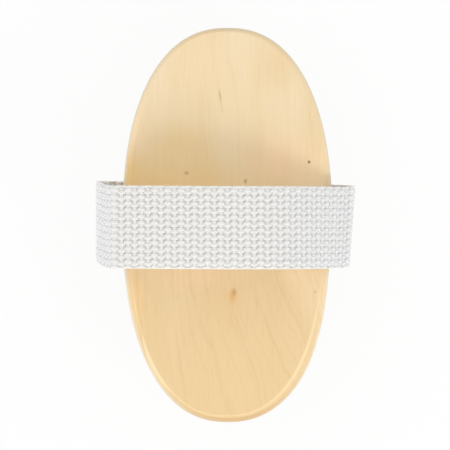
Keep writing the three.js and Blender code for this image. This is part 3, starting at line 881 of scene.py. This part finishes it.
def rounded_rim(tree, axes, upright, endwise, lengthwise, shade):
    """The shade on the walls and rims: painted shade that darkens the wall, a paler rounding with painted
    shade on it above the strap, where it faces away from the lamp, and end grain, whose share is (endwise /
    root of (1 - upright squared)) squared, so it grows with how far the rim runs across the grain."""
    # painted shade on the walls
    shade = blended(tree, between(tree, upright, *WALL_SHADE_RANGE), shade, WOOD_WALL_SHADE)
    high_rim_shade = between(tree, axes[1], *HIGH_RIM_SHADE_RANGE)
    top, foot = (times_plus(tree, high_rim_shade, HIGH_STEEPER, edge) for edge in RIM_BAND_RANGE)
    rim_band = times(tree, between(tree, upright, top, foot), between(tree, upright, *RIM_FOOT_RANGE))
    # painted shade on the rim above the strap
    rim = blended(tree, high_rim_shade, WOOD_RIM, WOOD_RIM_HIGH_SHADE)
    shade = blended(tree, times(tree, rim_band, RIM_BAND_SHARE), shade, rim)
    flatness = maths(tree, "SQRT", maths(tree, "SUBTRACT", 1.0, times(tree, upright, upright)))
    cut_grain = maths(tree, "POWER", maths(tree, "DIVIDE", endwise, flatness), 2.0)
    strength = between(tree, lengthwise, *END_GRAIN_RANGE)
    soaked = times(tree, between(tree, upright, *SOAKED_RANGE), strength, cut_grain)
    return blended(tree, soaked, shade, WOOD_END)


def growth_lines(tree, place, axes, clear, shade):
    """The shade with fine brown lines, broken here and there, where x + slant y, with a slow wander,
    passes a whole number of growth layers. They run aslant below the strap, and nearly straight
    above it."""
    slant = between(tree, axes[0], -HALF_WIDTH, HALF_WIDTH, LEFT_SLANT, RIGHT_SLANT)
    low_half = times(tree, maths(tree, "MINIMUM", axes[1], 0.0), slant)
    high_half = times(tree, maths(tree, "MAXIMUM", axes[1], 0.0), HIGH_SLANT)
    aslant = maths(tree, "ADD", axes[0], maths(tree, "ADD", low_half, high_half))
    wander = noise(tree, place, WANDER_CELLS, 3.0)
    layer = times_plus(tree, wander, LAYER_WANDER, maths(tree, "DIVIDE", aslant, LAYER_PITCH))
    shown = times(tree, clear, between(tree, noise(tree, place, BREAK_CELLS), *BREAK_RANGE))
    for turns, start, strength in LINE_SETS:
        crest = maths(tree, "SINE", times(tree, layer, turns * TURN))
        line = times(tree, shown, between(tree, crest, start, 1.0, 0.0, strength))
        shade = blended(tree, line, shade, WOOD_LATE)
    return shade


def arris_highlight(tree, axes, upright, endwise, lengthwise, shade):
    """The shade with a painted highlight on the softened line between flat face and rim. It is brighter to
    the lower left, and at the lower left corner the painted highlight runs broader down the rim."""
    upwards = maths(tree, "DIVIDE", axes[1], -HALF_LENGTH)
    broad_highlight = between(tree, times_plus(tree, axes[0], -1 / HALF_WIDTH, upwards), *BROAD_HIGHLIGHT_RANGE)
    steep, flat = (times_plus(tree, broad_highlight, shift, edge)
                   for shift, edge in zip(BROAD_HIGHLIGHT_SHIFTS, ARRIS_RANGE))
    arris = times(tree, between(tree, upright, steep, flat), between(tree, upright, *ARRIS_FACE_RANGE))
    slanted = times_plus(tree, axes[0], HIGHLIGHT_SLANT / HALF_WIDTH, lengthwise)
    highlight_strength = times_plus(tree, broad_highlight, BROAD_HIGHLIGHT_BRIGHTER, between(tree, slanted, *HIGHLIGHT_RANGE))
    bright = blended(tree, between(tree, endwise, *ARRIS_END_RANGE), WOOD_ARRIS_HIGHLIGHT, WOOD_ARRIS_END_HIGHLIGHT)
    return blended(tree, times(tree, arris, highlight_strength), shade, bright)


def pale_birch():
    """Sanded, clear-oiled birch: broad changes of tone, with painted shade and painted light in and beside
    the strap's shadow, painted shade on the walls and on the rim above the strap, a paler rounding, end
    grain, the figure, fine threads and flecks along the grain, a few small marks and a painted highlight on
    the arris. endwise is how far a surface looks along the grain, which leans a little off the board's
    length."""
    material, tree, shader = new_finish("pale_birch", Roughness=0.5, Specular_IOR_Level=0.35)
    place = object_place(tree)
    axes = split(tree, place)
    facing = split(tree, add(tree, "ShaderNodeNewGeometry").outputs["Normal"])
    endwise = maths(tree, "ABSOLUTE", times_plus(tree, facing[0], -GRAIN_LEAN, facing[1]))
    upright = maths(tree, "ABSOLUTE", facing[2])
    lengthwise = between(tree, axes[1], -HALF_LENGTH, HALF_LENGTH)
    clear = between(tree, axes[1], *FIGURE_RANGE)
    threads = noise(tree, place, THREAD_CELLS)
    flecks = noise(tree, place, FLECK_CELLS, roughness=0.6)
    broad = noise(tree, place, BROAD_CELLS)
    shade = blended(tree, lengthwise, WOOD_LOW, WOOD_HIGH)
    shade = blended(tree, between(tree, broad, *BROAD_RANGE), shade, WOOD_WARM)
    shade = patched(tree, place, shade, WOOD_TONES_AND_PAINTED_LIGHT, TONE_DEPTH)
    shade = rounded_rim(tree, axes, upright, endwise, lengthwise, shade)
    shade = growth_lines(tree, place, axes, clear, shade)
    shade = blended(tree, between(tree, threads, *THREAD_RANGE), shade, WOOD_LATE)
    shade = blended(tree, times(tree, clear, between(tree, flecks, *FLECK_RANGE)), shade, WOOD_FLECK)
    shade = patched(tree, place, shade, WOOD_MARKS, MARK_DEPTH)
    shade = arris_highlight(tree, axes, upright, endwise, lengthwise, shade)
    feed(tree, shader, Base_Color=shade, Roughness=between(tree, threads, *GLOSS_RANGE))
    raised(tree, shader, maths(tree, "ADD", threads, flecks), WOOD_RELIEF)
    return material


def cotton_yarn():
    """White two-ply cotton: the plies' twist runs round the yarn as sin(2 pi (plies v + u / lay)), with
    painted shade in the grooves between the plies, under short loose fibres. A tone above 1 brightens the
    selvedge's yarn with painted light, and towards its ends, where it slopes away, painted shade greys the
    strap."""
    material, tree, shader = new_finish("cotton_yarn", Roughness=0.85, Sheen_Weight=0.15,
                                        Specular_IOR_Level=0.2)
    spun = split(tree, add(tree, "ShaderNodeUVMap", uv_map="yarn").outputs[0])
    turn = times_plus(tree, spun[0], 1 / TWIST_LAY, times(tree, spun[1], float(PLIES)))
    twist = maths(tree, "SINE", times(tree, turn, TURN))
    tone = add(tree, "ShaderNodeAttribute", attribute_name="tone").outputs["Fac"]
    place = object_place(tree)
    right = split(tree, place)[0]
    ends = [between(tree, right, *bounds) for bounds in (LEFT_END_SHADE, RIGHT_END_SHADE)]
    end_shade = maths(tree, "MAXIMUM", *ends)
    fuzz = noise(tree, place, FUZZ_CELLS, 3.0, 0.65)
    soiling = noise(tree, place, SOILING_CELLS)
    shade = blended(tree, tone, COTTON_COOL, COTTON_WARM)
    shade = blended(tree, between(tree, tone, 1.0, SELVEDGE_LIGHT_TONE), shade, COTTON_SELVEDGE_LIGHT)
    # painted shade in the grooves between the plies
    shade = blended(tree, between(tree, twist, *TWIST_RANGE), shade, COTTON_DEEP)
    shade = blended(tree, between(tree, fuzz, *FUZZ_RANGE), shade, COTTON_DEEP)
    shade = blended(tree, between(tree, soiling, *SOILING_RANGE), shade, COTTON_WARM)
    # painted shade towards the strap's ends
    feed(tree, shader, Base_Color=blended(tree, end_shade, shade, COTTON_END_SHADE))
    height = times_plus(tree, twist, HEIGHT_SHARES[0], times(tree, fuzz, HEIGHT_SHARES[1]))
    raised(tree, shader, height, YARN_RELIEF)
    return material


def stuffer_yarn():
    """The core's straight cotton ends: stripes along the band, seen only in the weave's gaps, where their
    slightly darker colour is painted shade.
    """
    material, tree, shader = new_finish("stuffer_yarn", Roughness=0.9, Specular_IOR_Level=0.1)
    place = object_place(tree)
    ends = maths(tree, "SINE", times(tree, split(tree, place)[1], TURN / STUFFER_PITCH))
    fuzz = noise(tree, place, STUFFER_CELLS, 3.0)
    shade = blended(tree, between(tree, ends, -1.0, 1.0), COTTON_GAP, COTTON_DEEP)
    shade = blended(tree, between(tree, fuzz, *STUFFER_RANGE), shade, COTTON_DEEP)
    feed(tree, shader, Base_Color=shade)
    raised(tree, shader, ends, YARN_RELIEF)
    return material


def sisal_fibre():
    """Stiff straw-coloured plant fibre, each one a little lighter or browner than the next, with fine
    ridges along it."""
    material, tree, shader = new_finish("sisal_fibre", Roughness=0.5, Specular_IOR_Level=0.4)
    place = object_place(tree)
    tone = add(tree, "ShaderNodeAttribute", attribute_name="tone").outputs["Fac"]
    ridges = noise(tree, place, RIDGE_CELLS, 1.0)
    bands = noise(tree, place, BAND_CELLS, 1.0)
    shade = blended(tree, tone, SISAL_PALE, SISAL_BROWN)
    shade = blended(tree, between(tree, ridges, *RIDGE_RANGE), shade, SISAL_DEEP)
    feed(tree, shader, Base_Color=blended(tree, between(tree, bands, *BAND_RANGE), shade, SISAL_DEEP))
    raised(tree, shader, ridges, FIBRE_RELIEF)
    return material


def drawn_metal(name, bright, dull, roughness):
    """Drawn wire: fine die lines and a mottled, slightly dulled skin."""
    material, tree, shader = new_finish(name, Metallic=1.0)
    place = object_place(tree)
    skin = blended(tree, noise(tree, place, MOTTLE_CELLS, 3.0), bright, dull)
    lines = noise(tree, place, DIE_CELLS, 1.0)
    uneven = between(tree, lines, *DIE_RANGE, *(roughness + change for change in DIE_GLOSS))
    feed(tree, shader, Base_Color=skin, Roughness=uneven)
    raised(tree, shader, lines, FIBRE_RELIEF)
    return material


def dress(piece, material):
    """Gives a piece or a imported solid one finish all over."""
    piece.data.materials.clear()
    piece.data.materials.append(material)


def seen_share(tree):
    """1 for what the camera sees, straight, through or off a shiny face, and 0 for the light that
    falls on the brush."""
    ray = add(tree, "ShaderNodeLightPath").outputs
    shiny = maths(tree, "MAXIMUM", ray["Is Glossy Ray"], ray["Is Transmission Ray"])
    return maths(tree, "MAXIMUM", ray["Is Camera Ray"], shiny)


def paper_floor():
    """A white sheet whose own shade, with the brush's shadow, shows through a white glow. Under the
    brush, inside the ellipse of the board's half width and half length, it glows less."""
    floor = make_object("floor", np.array([[x, y, 0] for x, y in FLOOR_CORNERS]) * FLOOR_HALF,
                        [[0, 1, 2, 3]], False)
    material, tree, shader = new_finish("floor_paper", Roughness=0.9, Specular_IOR_Level=0.0)
    place = object_place(tree)
    paper = blended(tree, noise(tree, place, PAPER_CELLS), PAPER_WHITE, PAPER_SHADE)
    feed(tree, shader, Base_Color=paper)
    under = length(tree, stretched(tree, place, (1 / HALF_WIDTH, 1 / HALF_LENGTH, 0)))
    white = between(tree, under, *SHADE_SHARES, SHADE_GLOW, PAPER_GLOW)
    glow = add(tree, "ShaderNodeEmission", {"Color": WHITE, "Strength": 1.0}).outputs[0]
    inputs = {0: times(tree, seen_share(tree), white), 1: shader.outputs[0], 2: glow}
    mixed = add(tree, "ShaderNodeMixShader", inputs).outputs[0]
    tree.links.new(mixed, tree.nodes["Material Output"].inputs["Surface"])
    dress(floor, material)


def soft_sky():
    """White where it is seen. Where it lights the brush its level is horizon + (high - horizon) x
    height, and the horizon is ends + (sides - ends) x across squared + lean x across + lean x along,
    so it is brighter on one side."""
    world = bpy.data.worlds.new("soft_sky")
    world.use_nodes = True
    bpy.context.scene.world = world
    tree = world.node_tree
    way = split(tree, add(tree, "ShaderNodeTexCoord").outputs["Generated"])
    even = evenly(tree, times(tree, way[0], way[0]), SKY_ENDS, SKY_SIDES)
    leaning = times_plus(tree, way[1], SKY_LEAN[1], even)
    horizon = times_plus(tree, way[0], SKY_LEAN[0], leaning)
    light = evenly(tree, maths(tree, "ABSOLUTE", way[2]), horizon, SKY_HIGH)
    background = tree.nodes["Background"]
    background.inputs["Color"].default_value = WHITE
    feed(tree, background, Strength=evenly(tree, seen_share(tree), light, 1.0))


def broad_lamp():
    """One broad lamp opposite the sky's bright side, low enough to leave a soft shade behind the
    strap."""
    lamp = bpy.data.lights.new("broad_lamp", "AREA")
    lamp.shape = "DISK"
    lamp.size = LAMP_SIZE
    lamp.energy = LAMP_POWER
    holder = bpy.data.objects.new("broad_lamp", lamp)
    holder.location = LAMP_PLACE
    holder.rotation_euler = (Vector(LAMP_PLACE) - Vector((0, 0, SEAM))).to_track_quat("Z", "Y").to_euler()
    bpy.context.scene.collection.objects.link(holder)


def camera():
    """The photograph's view: straight down on the back, with the strap across."""
    eye = bpy.data.cameras.new("camera")
    eye.sensor_width = SENSOR
    eye.lens = SENSOR * CAMERA_HEIGHT / (IMAGE_PIXELS / PIXELS_PER_METRE)
    holder = bpy.data.objects.new("camera", eye)
    holder.location = (-BOARD_ASIDE, 0, BACK_TOP + CAMERA_HEIGHT)
    bpy.context.scene.collection.objects.link(holder)
    bpy.context.scene.camera = holder
    bpy.context.scene.view_settings.view_transform = "Standard"


camera()
paper_floor()
soft_sky()
broad_lamp()
rows = tuft_places()
wood = pale_birch()
for board in (back_board(), bristle_board(rows)):
    dress(board, wood)
sisal = sisal_fibre()
for field, numbers in enumerate(np.array_split(np.arange(len(rows)), FIELDS)):
    dress(tuft_field(field, [rows[number] for number in numbers]), sisal)
core, *yarns = hand_strap()
dress(core, stuffer_yarn())
cotton = cotton_yarn()
for yarn in yarns:
    dress(yarn, cotton)
metals = {"strap_staple": drawn_metal("staple_steel", STEEL_BRIGHT, STEEL_DULL, roughness=0.34),
          "draw_wire": drawn_metal("draw_wire", BRASS_BRIGHT, BRASS_DULL, roughness=0.3)}
for name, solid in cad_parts.items():
    for kind, metal in metals.items():
        if name.startswith(kind):
            dress(solid, metal)
